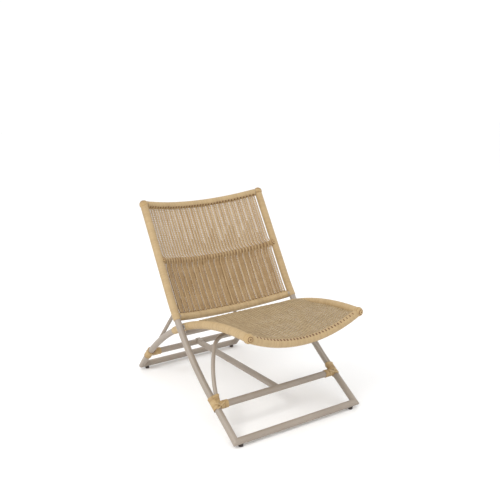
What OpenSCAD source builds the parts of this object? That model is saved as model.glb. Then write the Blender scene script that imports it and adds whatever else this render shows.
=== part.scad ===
// Low lounge chair: two bent tube frames that cross at the sides and fold on a
// pivot at each crossing. The outer frame runs from the front floor bar up to
// the back rest. The inner frame runs from the rear floor bar forwards to the
// seat. Wicker covers the back, the seat and the rails around them.
//
// Millimetres. X runs across the chair, -Y is the front, +Z is up and Z = 0 is
// the floor. Most shapes are drawn in a side plane [y, z] and set at a given x.

/* [Tubes] */
// Outside diameter of the frame tubes
tube_d = 25; // [22:0.5:28]
// Outside diameter of the two hoops
hoop_d = 15; // [12:0.5:18]
// Thickness of the wicker wound round a tube
wrap_t = 2.4; // [2:0.1:4]

/* [Widths] */
// Half the distance between the side tubes of the outer frame
outer_w = 268; // [255:1:300]
// Half the distance between the side tubes of the inner frame
inner_w = 237; // [220:0.5:238]

/* [Crossing] */
// Height of the pivots above the floor
pivot_z = 319.2; // [305:0.1:330]
// Distance of the pivots behind the middle of the chair
pivot_y = 2; // [-10:0.5:10]
// Diameter of the pivot pins
pin_d = 8; // [6:0.5:10]

/* [Outer frame] */
// Height of the floor bar axes
foot_z = 20.6; // [19:0.1:24]
// Slope of the front legs
leg_angle = 32.9; // [31:0.1:35]
// Length of the straight front legs
leg_l = 192.4; // [185:0.1:200]
// Slope of the back rest
back_angle = 59.1; // [58:0.1:60]
// Bending radius between leg and back rest
outer_r = 930.5; // [915:0.5:945]
// Straight length of the back rest above the bend
back_l = 371; // [355:1:385]
// Depth of the curve across the back rest
back_bow = 64; // [45:1:70]

/* [Inner frame] */
// Bending radius of the inner side tubes
inner_r = 1109.2; // [1095:0.1:1120]
// Slope of the inner side tubes at the pivot
inner_slope = 21.9; // [21:0.1:23]
// Slope of the seat at its front corners
seat_front_slope = -0.2; // [-0.6:0.1:1]
// Depth of the curve across the seat front
seat_bow = 56; // [30:1:60]
// Slope of the side tubes where the rear seat rail meets them
seat_rear_slope = 17.6; // [17:0.1:18]

/* [Braces] */
// Distance of the front stretcher from the floor, along the leg
stretcher_s = 150; // [140:1:165]
// Height of the rear stretcher
rear_stretcher_z = 98.2; // [92:0.1:105]
// Lean of the front hoop from the horizontal
front_hoop_angle = 51.9; // [49:0.1:54]
// Height of the front hoop in its own plane
front_hoop_h = 243.5; // [235:0.5:250]

/* [Hidden] */
$fn = 96;
gap = 0.05;
run_gap = 0.05;
// Lengths of one bent tube overlap by lap, each a hair thicker than the last,
// so that they join into one exact solid
lap = 3;
hair = 0.04;
tube_r = tube_d / 2;
hoop_r = hoop_d / 2;
wrap_r = tube_r + wrap_t;
hoop_wrap_r = hoop_r + 3;
pin_r = pin_d / 2;
corner_r = tube_r + 5;
sheet_t = 4;

tube_colour = [0.66, 0.61, 0.56];
wicker_colour = [0.84, 0.72, 0.53];
weave_colour = [0.68, 0.58, 0.43];
glide_colour = [0.20, 0.15, 0.13];
pin_colour = [0.75, 0.75, 0.76];

// A point a distance d from p in the side plane, at angle a above +Y
function along(p, a, d) = [p.x + d * cos(a), p.y + d * sin(a)];

pivot = [pivot_y, pivot_z];

// Outer side tube: straight leg, one arc, straight back rest
leg_top_z = foot_z + leg_l * sin(leg_angle);
outer_cz = leg_top_z + outer_r * cos(leg_angle);
pivot_slope = acos((outer_cz - pivot_z) / outer_r);
outer_c = [pivot_y - outer_r * sin(pivot_slope), outer_cz];
function outer_at(a) = along(outer_c, a - 90, outer_r);
leg_top = outer_at(leg_angle);
front_foot = along(leg_top, leg_angle, -leg_l);
back_start = outer_at(back_angle);
back_top = along(back_start, back_angle, back_l);

// Inner side tube: one arc from the rear floor bar to the seat front
inner_c = along(pivot, 90 - inner_slope, -inner_r);
function inner_at(a, inset = 0) = along(inner_c, 90 - a, inner_r - inset);
rear_foot_slope = acos((foot_z - inner_c.y) / inner_r);
rear_foot = inner_at(rear_foot_slope);
seat_front = inner_at(seat_front_slope);
seat_rear = inner_at(seat_rear_slope);

// Rails of the back rest, as points on the outer side tubes
bow_angle = back_angle - 90;
mid_rail = along(back_start, back_angle, 136.7);
bottom_rail_slope = 53.55;
bottom_rail = outer_at(bottom_rail_slope);

// Stretchers between the legs
front_stretcher_p = along(front_foot, leg_angle, stretcher_s);
rear_stretcher_slope = acos((rear_stretcher_z - inner_c.y) / inner_r);
rear_stretcher_p = inner_at(rear_stretcher_slope);

// Cross tube, tucked under the inner side tubes just behind the pivots
cross_slope = 23.6;
cross_p = inner_at(cross_slope, 21);

// The mid rail is the hoops' slimmer tube, with thinner wicker
mid_wrap_t = 1.8;
mid_wrap_r = hoop_r + mid_wrap_t;

// Rear hoop: its crown rests behind the middle of the mid rail
crown_p = along(mid_rail, bow_angle, back_bow + mid_wrap_r + hoop_r + 0.4);
crown_v = crown_p - rear_stretcher_p;
rear_hoop_angle = atan2(crown_v.y, crown_v.x);
rear_hoop_h = norm(crown_v);
rear_hoop_lean = 24;
rear_hoop_r = 50;

// Front hoop: a steep foot, a long bend and a tighter shoulder
front_hoop_lean = 6.6;
shoulder_lean = 29.9;
shoulder_r = 67.6;
flank_r = 495;
crown_half = 134.4;

// Wound lengths, as slopes on the side tubes
upright_wrap_slope = 52.8;
side_wrap_slope = 27.8;

// ---- Shared shapes ----

// Puts a drawing in the side plane, [y, z], at a distance x across the chair
module side(x = 0) {
  translate([x, 0, 0])
    rotate([90, 0, 90])
      children();
}

// A ring section, or a disc where the hole is zero
module section(r, hole) {
  difference() {
    circle(r);
    if (hole > 0) circle(hole);
  }
}

// A straight tube in the side plane, from p at angle a
module side_bar(x, p, a, len, r, hole = 0) {
  side(x)
    translate(p)
      rotate([0, 0, a])
        rotate([0, 90, 0])
          linear_extrude(len) section(r, hole);
}

// An arc of tube in the side plane about c, between two polar angles
module side_arc(x, c, radius, from, to, r, hole = 0) {
  side(x)
    translate(c)
      rotate([0, 0, from])
        rotate_extrude(angle = to - from, $fn = 256)
          translate([radius, 0]) section(r, hole);
}

// A straight tube across the chair through p, between -half and half
module cross_bar(p, half, r, hole = 0) {
  side(0)
    translate([p.x, p.y, -half])
      linear_extrude(2 * half) section(r, hole);
}

// Radius of an arc with this half chord and depth
function bow_r(half, depth) = (half * half + depth * depth) / (2 * depth);

// A tube bowed across the chair: its ends are at p, its middle is depth further along a
module bowed_bar(p, a, half, depth, r, hole = 0) {
  radius = bow_r(half, depth);
  span = asin(half / radius);
  side(0)
    translate(along(p, a, depth - radius))
      rotate([0, 0, a])
        rotate([90, 0, 0])
          rotate([0, 0, -span])
            rotate_extrude(angle = 2 * span, $fn = 256)
              translate([radius, 0]) section(r, hole);
}

// The whole path of an outer side tube as a solid of radius r
module outer_path(side_sign, r) {
  x = side_sign * outer_w;
  side_bar(x, along(front_foot, leg_angle, -20), leg_angle, leg_l + 20 + lap, r + hair);
  side_arc(x, outer_c, outer_r, leg_angle - 90, back_angle - 90, r);
  side_bar(x, along(back_start, back_angle, -lap), back_angle, back_l + 9 + lap, r + hair);
}

// Cuts the end of a crosspiece at p to fit a side tube of slope a there
module end_cuts(half, p, a, r) {
  for (s = [-1, 1])
    side_bar(s * half, along(p, a, -45), a, 90, r);
}

// A bore in the wicker of a side tube for a rail that meets the tube at p. The
// rail leaves in direction a of the side plane, turned by span from straight across.
module rail_bore(side_sign, half, p, a, span, r = tube_r) {
  side(side_sign * half)
    translate(p)
      rotate([0, 0, a])
        rotate([0, side_sign > 0 ? 180 - span : span, 0])
          translate([0, 0, 1.5]) cylinder(h = 24, r = r + 0.3);
}

// How far the end of a bowed rail turns from straight across
function bow_span(half, depth) = asin(half / bow_r(half, depth));

// The whole path of an inner side tube as a solid of radius r
module inner_path(side_sign, r) {
  side_arc(side_sign * inner_w, inner_c, inner_r,
    90 - rear_foot_slope - 1, 90 - seat_front_slope + 0.5, r);
}

// The block that trims a mitre between a floor bar's end at p and a leg that rises
// at angle a. It trims the bar where end is 1, and the leg where end is -1.
module mitre_block(side_sign, p, half, a, end) {
  side(side_sign * half)
    translate(p)
      rotate([0, 0, a])
        rotate([0, -45 * side_sign, 0])
          translate([end > 0 ? -0.03 : -39.97, -25, -60]) cube([40, 50, 120]);
}

// A floor bar with both ends mitred to meet the legs
module floor_bar(p, a, half) {
  difference() {
    cross_bar(p, half + 16, tube_r);
    for (s = [-1, 1]) mitre_block(s, p, half, a, 1);
  }
}

// Two round glides under a floor bar
module glides(p, half) {
  difference() {
    for (s = [-1, 1])
      translate([s * (half - 21), p.x, 0])
        cylinder(h = foot_z - tube_r + 4, r = 8.5);
    cross_bar(p, half, tube_r + gap);
  }
}

// A straight piece of hoop in the hoop's own plane
module hoop_bar(x, y, a, len, r) {
  translate([x, y, 0])
    rotate([0, 0, a])
      rotate([0, 90, 0])
        cylinder(h = len, r = r);
}

// An arc of hoop in the hoop's own plane
module hoop_arc(c, radius, from, to, r) {
  translate([c.x, c.y, 0])
    rotate([0, 0, from])
      rotate_extrude(angle = to - from)
        translate([radius, 0]) circle(r);
}

// The front hoop's path as a solid of radius r
module front_hoop_path(r) {
  shoulder_c = [crown_half, front_hoop_h - shoulder_r];
  shoulder_end = along(shoulder_c, shoulder_lean, shoulder_r);
  flank_c = along(shoulder_end, shoulder_lean, -flank_r);
  flank_end = along(flank_c, front_hoop_lean, flank_r);
  leg = flank_end.y / cos(front_hoop_lean);
  translate([0, front_stretcher_p.x, front_stretcher_p.y])
    rotate([front_hoop_angle, 0, 0]) {
      hoop_bar(-crown_half - 1, front_hoop_h, 0, 2 * crown_half + 2, r + 2 * hair);
      for (m = [0, 1])
        mirror([m, 0, 0]) {
          hoop_arc(shoulder_c, shoulder_r, shoulder_lean - 1, 90, r + hair);
          hoop_arc(flank_c, flank_r, front_hoop_lean - 0.4, shoulder_lean, r);
          hoop_bar(flank_end.x, flank_end.y, front_hoop_lean - 90, leg, r + hair);
        }
    }
}

// The rear hoop's path as a solid of radius r
module rear_hoop_path(r) {
  c = [0, rear_hoop_h - rear_hoop_r];
  shoulder = along(c, rear_hoop_lean, rear_hoop_r);
  leg = shoulder.y / cos(rear_hoop_lean);
  translate([0, rear_stretcher_p.x, rear_stretcher_p.y])
    rotate([rear_hoop_angle, 0, 0]) {
      hoop_arc(c, rear_hoop_r, rear_hoop_lean - 1, 181 - rear_hoop_lean, r + hair);
      for (m = [0, 1])
        mirror([m, 0, 0])
          hoop_bar(shoulder.x, shoulder.y, rear_hoop_lean - 90, leg, r);
    }
}

// ---- Outer frame ----

module outer_side_tube(side_sign) {
  color(tube_colour)
    difference() {
      outer_path(side_sign, tube_r);
      mitre_block(side_sign, front_foot, outer_w, leg_angle, -1);
      pin_hole(side_sign, pin_r + 0.02);
    }
}
module outer_side_tube_left() { outer_side_tube(-1); }
module outer_side_tube_right() { outer_side_tube(1); }

module front_floor_bar() {
  color(tube_colour) floor_bar(front_foot, leg_angle, outer_w);
}

module front_stretcher() {
  color(tube_colour)
    difference() {
      cross_bar(front_stretcher_p, outer_w, tube_r);
      end_cuts(outer_w, front_stretcher_p, leg_angle, tube_r + gap);
    }
}

module front_hoop() {
  color(tube_colour)
    difference() {
      front_hoop_path(hoop_r);
      cross_bar(front_stretcher_p, outer_w, tube_r + gap);
      side_bar(outer_w, along(front_stretcher_p, leg_angle, -30), leg_angle, 120, tube_r + 2 * gap);
      side_bar(-outer_w, along(front_stretcher_p, leg_angle, -30), leg_angle, 120, tube_r + 2 * gap);
    }
}

module front_glides() {
  color(glide_colour) glides(front_foot, outer_w);
}

// The stay ends where the rear stretcher can still swing past it
module centre_stay() {
  sweep_r = norm(rear_stretcher_p - pivot) - tube_r - 0.5;
  stay_v = rear_stretcher_p - front_stretcher_p;
  color(tube_colour)
    intersection() {
      difference() {
        side_bar(0, front_stretcher_p, atan2(stay_v.y, stay_v.x), norm(stay_v), tube_r);
        cross_bar(front_stretcher_p, 20, tube_r + gap);
        catch_body();
      }
      cross_bar(pivot, 20, sweep_r);
    }
}

// An open hook over the rear stretcher, on a tongue let into the top of the stay
module catch_body() {
  clear_r = tube_r + 0.4;
  hook_r = clear_r + 3;
  side(0)
    translate([rear_stretcher_p.x, rear_stretcher_p.y, -8])
      difference() {
        union() {
          intersection() {
            cylinder(h = 16, r = hook_r);
            rotate([0, 0, -32]) translate([-20, 0, -1]) cube([40, 20, 18]);
          }
          translate([-34, tube_r - 1.5, 0]) cube([33, 4.1, 16]);
        }
        translate([0, 0, -1]) cylinder(h = 18, r = clear_r);
      }
}

module stay_catch() {
  color(tube_colour) catch_body();
}

// Wicker binding over a leg, the end of its stretcher and the foot of a hoop
module front_binding(side_sign) {
  x_in = outer_w - 47;
  color(wicker_colour)
    difference() {
      union() {
        side_bar(side_sign * outer_w, along(front_stretcher_p, leg_angle, -16),
          leg_angle, 54, wrap_r);
        intersection() {
          cross_bar(front_stretcher_p, outer_w, wrap_r);
          translate([side_sign * (outer_w + x_in) / 2, front_stretcher_p.x, front_stretcher_p.y])
            cube([outer_w - x_in, 60, 60], center = true);
        }
        intersection() {
          front_hoop_path(hoop_wrap_r);
          translate([side_sign * outer_w, front_stretcher_p.x, front_stretcher_p.y])
            sphere(r = 38);
        }
      }
      end_cuts(outer_w, front_stretcher_p, leg_angle, tube_r + gap);
      cross_bar(front_stretcher_p, outer_w, tube_r + gap);
      front_hoop_path(hoop_r + gap);
    }
}
module front_binding_left() { front_binding(-1); }
module front_binding_right() { front_binding(1); }

// Wicker wound round an upright, from above the pivot to the top corner
module upright_wrap(side_sign) {
  x = side_sign * outer_w;
  color(wicker_colour)
    difference() {
      union() {
        side_arc(x, outer_c, outer_r, upright_wrap_slope - 90, back_angle - 90, wrap_r);
        side_bar(x, along(back_start, back_angle, -lap), back_angle, back_l + lap, wrap_r + hair);
      }
      side_arc(x, outer_c, outer_r, leg_angle - 90, back_angle - 90, tube_r + gap);
      side_bar(x, along(back_start, back_angle, -2 * lap), back_angle, back_l + 20,
        tube_r + gap + hair);
      side(x) translate([back_top.x, back_top.y, 0]) sphere(r = corner_r + gap);
      for (p = [back_top, bottom_rail])
        rail_bore(side_sign, outer_w, p, bow_angle, bow_span(outer_w, back_bow));
      rail_bore(side_sign, outer_w, mid_rail, bow_angle, bow_span(outer_w, back_bow), hoop_r);
    }
}
module upright_wrap_left() { upright_wrap(-1); }
module upright_wrap_right() { upright_wrap(1); }

// A bowed rail of the back rest, cut to fit between the uprights
module back_rail_tube(p, slope, r = tube_r) {
  color(tube_colour)
    difference() {
      bowed_bar(p, bow_angle, outer_w, back_bow, r);
      end_cuts(outer_w, p, slope, tube_r + hair + gap);
    }
}
module top_rail_tube() { back_rail_tube(back_top, back_angle); }
module mid_rail_tube() { back_rail_tube(mid_rail, back_angle, hoop_r); }
module bottom_rail_tube() { back_rail_tube(bottom_rail, bottom_rail_slope); }

// The wicker on a bowed rail, cut to fit between the wound uprights
module back_rail_wrap(p, slope, t, r = tube_r) {
  color(wicker_colour)
    difference() {
      bowed_bar(p, bow_angle, outer_w, back_bow, r + t, r + gap);
      end_cuts(outer_w, p, slope, wrap_r + hair + gap);
      if (p == back_top)
        for (s = [-1, 1])
          side(s * outer_w) translate([p.x, p.y, 0]) sphere(r = corner_r + gap);
    }
}
module top_rail_wrap() { back_rail_wrap(back_top, back_angle, wrap_t); }
module mid_rail_wrap() { back_rail_wrap(mid_rail, back_angle, mid_wrap_t, hoop_r); }
module bottom_rail_wrap() { back_rail_wrap(bottom_rail, bottom_rail_slope, wrap_t); }

// A ball of wicker over the top corner
module top_corner_wrap(side_sign) {
  color(wicker_colour)
    difference() {
      side(side_sign * outer_w)
        translate([back_top.x, back_top.y, 0]) sphere(r = corner_r);
      side_bar(side_sign * outer_w, along(back_start, back_angle, 0), back_angle, back_l + 9,
        tube_r + hair + gap);
      bowed_bar(back_top, bow_angle, outer_w, back_bow, tube_r + gap);
    }
}
module top_corner_wrap_left() { top_corner_wrap(-1); }
module top_corner_wrap_right() { top_corner_wrap(1); }

// A curved woven sheet between two rails of the back rest
module back_panel(lower, upper, lower_r, upper_r) {
  v = upper - lower;
  a = atan2(v.y, v.x);
  radius = bow_r(outer_w, back_bow);
  span = asin((outer_w - wrap_r - 2) / radius);
  start = along(lower, a, lower_r);
  len = norm(v) - lower_r - upper_r;
  color(weave_colour)
    side(0)
      translate(along(along(start, a, len), a - 90, back_bow - radius))
        rotate([0, 0, a - 90])
          rotate([90, 0, 0])
            rotate([0, 0, -span])
              rotate_extrude(angle = 2 * span, $fn = 256)
                translate([radius - sheet_t / 2, 0]) square([sheet_t, len]);
}
module back_panel_upper() {
  back_panel(mid_rail, back_top, mid_wrap_r + 0.6, wrap_r + 0.6);
}
module back_panel_lower() {
  back_panel(bottom_rail, mid_rail, wrap_r + 1.6, mid_wrap_r + 1.6);
}

// ---- Pivots ----

// A bore through the crossing, from inside the inner tube to inside the outer tube
module pin_hole(side_sign, r) {
  side(side_sign * (inner_w + outer_w) / 2)
    translate([pivot.x, pivot.y, side_sign > 0 ? -34 : -12])
      cylinder(h = 46, r = r);
}

module pivot_pin(side_sign) {
  x_in = inner_w - wrap_r + 1.5;
  x_out = outer_w - 4;
  color(pin_colour)
    side(side_sign > 0 ? x_in : -x_out)
      translate([pivot.x, pivot.y, 0])
        cylinder(h = x_out - x_in, r = pin_r);
}
module pivot_pin_left() { pivot_pin(-1); }
module pivot_pin_right() { pivot_pin(1); }

module pivot_spacer(side_sign) {
  x_in = inner_w + tube_r + 0.4;
  x_out = outer_w - tube_r - gap;
  color(pin_colour)
    side(side_sign > 0 ? x_in : -x_out)
      translate([pivot.x, pivot.y, 0])
        difference() {
          cylinder(h = x_out - x_in, r = 8);
          translate([0, 0, -1]) cylinder(h = 20, r = pin_r + gap);
        }
}
module pivot_spacer_left() { pivot_spacer(-1); }
module pivot_spacer_right() { pivot_spacer(1); }

// ---- Inner frame ----

module inner_side_tube(side_sign) {
  color(tube_colour)
    difference() {
      inner_path(side_sign, tube_r);
      mitre_block(side_sign, rear_foot, inner_w, 180 - rear_foot_slope, -1);
      pin_hole(side_sign, pin_r + run_gap);
    }
}
module inner_side_tube_left() { inner_side_tube(-1); }
module inner_side_tube_right() { inner_side_tube(1); }

module rear_floor_bar() {
  color(tube_colour) floor_bar(rear_foot, 180 - rear_foot_slope, inner_w);
}

module rear_stretcher() {
  color(tube_colour)
    difference() {
      cross_bar(rear_stretcher_p, inner_w, tube_r);
      end_cuts(inner_w, rear_stretcher_p, -rear_stretcher_slope, tube_r + 2 * gap);
    }
}

module rear_hoop() {
  color(tube_colour)
    difference() {
      rear_hoop_path(hoop_r);
      cross_bar(rear_stretcher_p, inner_w, tube_r + gap);
    }
}

module rear_glides() {
  color(glide_colour) glides(rear_foot, inner_w);
}

module cross_tube() {
  color(tube_colour)
    difference() {
      cross_bar(cross_p, inner_w, tube_r);
      end_cuts(inner_w, inner_at(cross_slope), -cross_slope, tube_r + 2 * gap);
    }
}

module seat_front_rail_tube() {
  color(tube_colour)
    difference() {
      bowed_bar(seat_front, -90, inner_w, seat_bow, tube_r);
      end_cuts(inner_w, seat_front, -seat_front_slope, tube_r + 2 * gap);
    }
}

module seat_rear_rail_tube() {
  color(tube_colour)
    difference() {
      cross_bar(seat_rear, inner_w, tube_r);
      end_cuts(inner_w, seat_rear, -seat_rear_slope, tube_r + 2 * gap);
    }
}

// Wicker wound round a seat side, from behind the pivot to the front corner
module side_wrap_body(side_sign, r) {
  side_arc(side_sign * inner_w, inner_c, inner_r,
    90 - side_wrap_slope, 90 - seat_front_slope, r, tube_r + gap);
}

module seat_side_wrap(side_sign) {
  x_face = inner_w + tube_r;
  color(wicker_colour)
    difference() {
      side_wrap_body(side_sign, wrap_r);
      cross_bar(cross_p, inner_w, tube_r + gap);
      pin_hole(side_sign, pin_r + 0.4);
      side(side_sign > 0 ? x_face - 6 : -x_face - 14)
        translate([pivot.x, pivot.y, 0]) cylinder(h = 20, r = 8.4);
      side(side_sign * inner_w)
        translate([seat_front.x, seat_front.y, 0]) sphere(r = corner_r + gap);
      rail_bore(side_sign, inner_w, seat_front, -90, bow_span(inner_w, seat_bow));
      rail_bore(side_sign, inner_w, seat_rear, 0, 0);
    }
}
module seat_side_wrap_left() { seat_side_wrap(-1); }
module seat_side_wrap_right() { seat_side_wrap(1); }

module seat_front_rail_wrap() {
  color(wicker_colour)
    difference() {
      bowed_bar(seat_front, -90, inner_w, seat_bow, wrap_r, tube_r + gap);
      end_cuts(inner_w, seat_front, -seat_front_slope, wrap_r + 2 * gap);
      for (s = [-1, 1])
        side(s * inner_w)
          translate([seat_front.x, seat_front.y, 0]) sphere(r = corner_r + gap);
    }
}

module seat_rear_rail_wrap() {
  color(wicker_colour)
    difference() {
      cross_bar(seat_rear, inner_w, wrap_r, tube_r + gap);
      end_cuts(inner_w, seat_rear, -seat_rear_slope, wrap_r + 2 * gap);
    }
}

module seat_corner_wrap(side_sign) {
  color(wicker_colour)
    difference() {
      side(side_sign * inner_w)
        translate([seat_front.x, seat_front.y, 0]) sphere(r = corner_r);
      side_bar(side_sign * inner_w, along(seat_front, -seat_front_slope, -9.9),
        -seat_front_slope, 60, tube_r + 2 * gap);
      bowed_bar(seat_front, -90, inner_w, seat_bow, tube_r + gap);
    }
}
module seat_corner_wrap_left() { seat_corner_wrap(-1); }
module seat_corner_wrap_right() { seat_corner_wrap(1); }

// Height of the seat sheet at x across and slope a along the side tubes.
// It is flat across at the rear rail and sags fully at the front rail.
seat_half = inner_w - wrap_r - 1;
seat_a0 = seat_rear_slope - 0.95;
seat_a1 = seat_front_slope + 0.95;
function sag(x, a) =
  let (f = (seat_rear_slope - a) / (seat_rear_slope - seat_front_slope))
  seat_bow * f * (1 - pow(x / inner_w, 2));
function seat_pt(i, j, n, m, lift) =
  let (x = seat_half * (2 * i / n - 1), a = seat_a0 + (seat_a1 - seat_a0) * j / m)
  let (p = inner_at(a))
  [x, p.x, p.y - sag(x, a) + lift];

// The seat sheet as a grid of points above and below, closed round its edges
module seat_panel() {
  n = 28;
  m = 20;
  w = n + 1;
  below = w * (m + 1);
  points = [
    for (lift = [sheet_t / 2, -sheet_t / 2])
      for (j = [0:m])
        for (i = [0:n]) seat_pt(i, j, n, m, lift)];
  faces = [
    for (j = [0:m - 1])
      for (i = [0:n - 1])
        let (k = j * w + i)
          each [[k, k + 1, k + w + 1], [k, k + w + 1, k + w],
            [below + k, below + k + w + 1, below + k + 1],
            [below + k, below + k + w, below + k + w + 1]],
    for (i = [0:n - 1])
      let (k = m * w + i)
        each [[i, below + i, below + i + 1], [i, below + i + 1, i + 1],
          [k, k + 1, below + k + 1], [k, below + k + 1, below + k]],
    for (j = [0:m - 1])
      let (k = j * w, e = j * w + n)
        each [[k, k + w, below + k + w], [k, below + k + w, below + k],
          [e, below + e, below + e + w], [e, below + e + w, e + w]]];
  color(weave_colour) polyhedron(points = points, faces = faces);
}

module rear_binding(side_sign) {
  x_in = inner_w - 50;
  turn = 1 / (inner_r * PI / 180);
  centre = 90 - rear_stretcher_slope;
  color(wicker_colour)
    difference() {
      union() {
        side_arc(side_sign * inner_w, inner_c, inner_r,
          centre - 30 * turn, centre + 20 * turn, wrap_r);
        intersection() {
          cross_bar(rear_stretcher_p, inner_w, wrap_r);
          translate([side_sign * (inner_w + x_in) / 2, rear_stretcher_p.x, rear_stretcher_p.y])
            cube([inner_w - x_in, 60, 60], center = true);
        }
        intersection() {
          rear_hoop_path(hoop_wrap_r);
          translate([side_sign * (inner_w - 28), rear_stretcher_p.x, rear_stretcher_p.y])
            sphere(r = 30);
        }
      }
      inner_path(side_sign, tube_r + gap);
      cross_bar(rear_stretcher_p, inner_w, tube_r + gap);
      rear_hoop_path(hoop_r + gap);
    }
}
module rear_binding_left() { rear_binding(-1); }
module rear_binding_right() { rear_binding(1); }

outer_side_tube_left();
outer_side_tube_right();
front_floor_bar();
front_stretcher();
front_hoop();
front_glides();
centre_stay();
stay_catch();
front_binding_left();
front_binding_right();
upright_wrap_left();
upright_wrap_right();
top_rail_tube();
mid_rail_tube();
bottom_rail_tube();
top_rail_wrap();
mid_rail_wrap();
bottom_rail_wrap();
top_corner_wrap_left();
top_corner_wrap_right();
back_panel_upper();
back_panel_lower();
pivot_pin_left();
pivot_pin_right();
pivot_spacer_left();
pivot_spacer_right();
inner_side_tube_left();
inner_side_tube_right();
rear_floor_bar();
rear_stretcher();
rear_hoop();
rear_glides();
cross_tube();
seat_front_rail_tube();
seat_rear_rail_tube();
seat_side_wrap_left();
seat_side_wrap_right();
seat_front_rail_wrap();
seat_rear_rail_wrap();
seat_corner_wrap_left();
seat_corner_wrap_right();
seat_panel();
rear_binding_left();
rear_binding_right();
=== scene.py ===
"""Wicker lounge chair on two crossed tube frames: wound rails, woven back and seat.

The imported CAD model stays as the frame. Its tubes, glides and pivots keep their own
shapes and get materials here. Each plain wicker solid is replaced by real strands.
Metres, in the CAD's frame: X across, -Y the front, +Z up.
"""

import math

import bpy
import numpy as np
from mathutils import Matrix, Vector


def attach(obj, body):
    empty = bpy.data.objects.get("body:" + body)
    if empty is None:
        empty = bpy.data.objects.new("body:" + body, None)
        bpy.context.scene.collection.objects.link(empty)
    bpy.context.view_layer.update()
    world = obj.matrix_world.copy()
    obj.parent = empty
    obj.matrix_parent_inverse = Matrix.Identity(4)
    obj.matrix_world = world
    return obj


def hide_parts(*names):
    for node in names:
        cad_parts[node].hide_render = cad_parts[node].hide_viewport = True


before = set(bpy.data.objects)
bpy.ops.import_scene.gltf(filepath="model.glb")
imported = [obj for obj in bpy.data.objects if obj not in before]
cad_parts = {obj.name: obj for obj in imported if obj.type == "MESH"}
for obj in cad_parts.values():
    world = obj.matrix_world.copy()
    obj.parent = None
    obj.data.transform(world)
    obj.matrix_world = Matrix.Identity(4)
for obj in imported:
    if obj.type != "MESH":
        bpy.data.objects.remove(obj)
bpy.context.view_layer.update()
rng = np.random.default_rng(7)

# ---- Driving dimensions, the same as the CAD's, in metres ----

TUBE_R = 0.0125
WRAP_R = 0.0149
CORNER_R = 0.0175
MID_R = 0.0093
HOOP_R = 0.0075
OUTER_W = 0.268
INNER_W = 0.237
PIVOT = np.array([0.002, 0.3192])
FOOT_Z = 0.0206
LEG_ANGLE = math.radians(32.9)
LEG_L = 0.1924
BACK_ANGLE = math.radians(59.1)
OUTER_R = 0.9305
BACK_L = 0.371
BACK_BOW = 0.064
MID_RAIL_UP = 0.1367
BOTTOM_SLOPE = math.radians(53.55)
WRAP_END_SLOPE = math.radians(52.8)
INNER_R = 1.1092
INNER_SLOPE = math.radians(21.9)
SEAT_FRONT_SLOPE = math.radians(-0.2)
SEAT_REAR_SLOPE = math.radians(17.6)
SIDE_WRAP_SLOPE = math.radians(27.8)
SEAT_BOW = 0.056
STRETCHER_UP = 0.150
REAR_STRETCHER_Z = 0.0982
FRONT_HOOP_ANGLE = math.radians(51.9)

# ---- Strands ----

WIND_PITCH = 0.0046
BIND_PITCH = 0.0062
BALL_PITCH = 0.0043
RIB_PITCH = 0.0265
BACK_HALF = 0.2505
BACK_WEFT_PITCH = 0.0040
SEAT_WEFT_PITCH = 0.0031
SEAT_WARP_PITCH = 0.0062

# ---- Mesh settings ----

PATH_STEP = 0.0006
LIP_RUN = 0.0004  # a winding's first and last rings stand in the core, out of sight
LIP_SHRINK = 0.98
PHASE_LIFT = 64  # keeps every winding phase above zero
RANDOM_TABLE = 4096
WAVE = 0.00006  # how unevenly a wound strand's turns lie

ACROSS = (1.0, 0.0, 0.0)

# ---- Side profiles, as [y, z] points ----


def direction(angle):
    """A unit [y, z] vector at an angle above the level."""
    return np.array([math.cos(angle), math.sin(angle)])


LEG_TOP_Z = FOOT_Z + LEG_L * math.sin(LEG_ANGLE)
OUTER_CZ = LEG_TOP_Z + OUTER_R * math.cos(LEG_ANGLE)
PIVOT_SLOPE = math.acos((OUTER_CZ - PIVOT[1]) / OUTER_R)
OUTER_C = np.array([PIVOT[0] - OUTER_R * math.sin(PIVOT_SLOPE), OUTER_CZ])
INNER_C = PIVOT - INNER_R * direction(math.pi / 2 - INNER_SLOPE)


def outer_at(slope):
    """The outer side tube's bend where its slope is this."""
    return OUTER_C + OUTER_R * direction(slope - math.pi / 2)


def inner_at(slope):
    """The inner side tube where its slope is this."""
    return INNER_C + INNER_R * direction(math.pi / 2 - slope)


FRONT_FOOT = outer_at(LEG_ANGLE) - LEG_L * direction(LEG_ANGLE)
BACK_START = outer_at(BACK_ANGLE)
BACK_TOP = BACK_START + BACK_L * direction(BACK_ANGLE)
MID_RAIL = BACK_START + MID_RAIL_UP * direction(BACK_ANGLE)
BOTTOM_RAIL = outer_at(BOTTOM_SLOPE)
BACKWARDS = direction(BACK_ANGLE - math.pi / 2)
SEAT_FRONT = inner_at(SEAT_FRONT_SLOPE)
SEAT_REAR = inner_at(SEAT_REAR_SLOPE)
FRONT_STRETCHER = FRONT_FOOT + STRETCHER_UP * direction(LEG_ANGLE)
REAR_STRETCHER_SLOPE = math.acos((REAR_STRETCHER_Z - INNER_C[1]) / INNER_R)
REAR_STRETCHER = inner_at(REAR_STRETCHER_SLOPE)


def xyz(x, yz):
    """Points from x across and [y, z] in the side plane."""
    yz = np.asarray(yz, float)
    x = np.broadcast_to(x, yz.shape[:-1])
    return np.concatenate([x[..., None], yz], axis=-1)


def side_line(x, start, angle, length, step=PATH_STEP):
    """Points of a straight length in the side plane."""
    s = np.linspace(0, length, max(3, round(length / step)))
    return xyz(x, start + s[:, None] * direction(angle))


def outer_arc(x, first, last, step=PATH_STEP):
    """Points along the outer side tube's bend, between two slopes."""
    a = np.linspace(first, last, max(3, round(abs(last - first) * OUTER_R / step)))
    return xyz(x, OUTER_C + OUTER_R * np.stack([np.sin(a), -np.cos(a)], -1))


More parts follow.
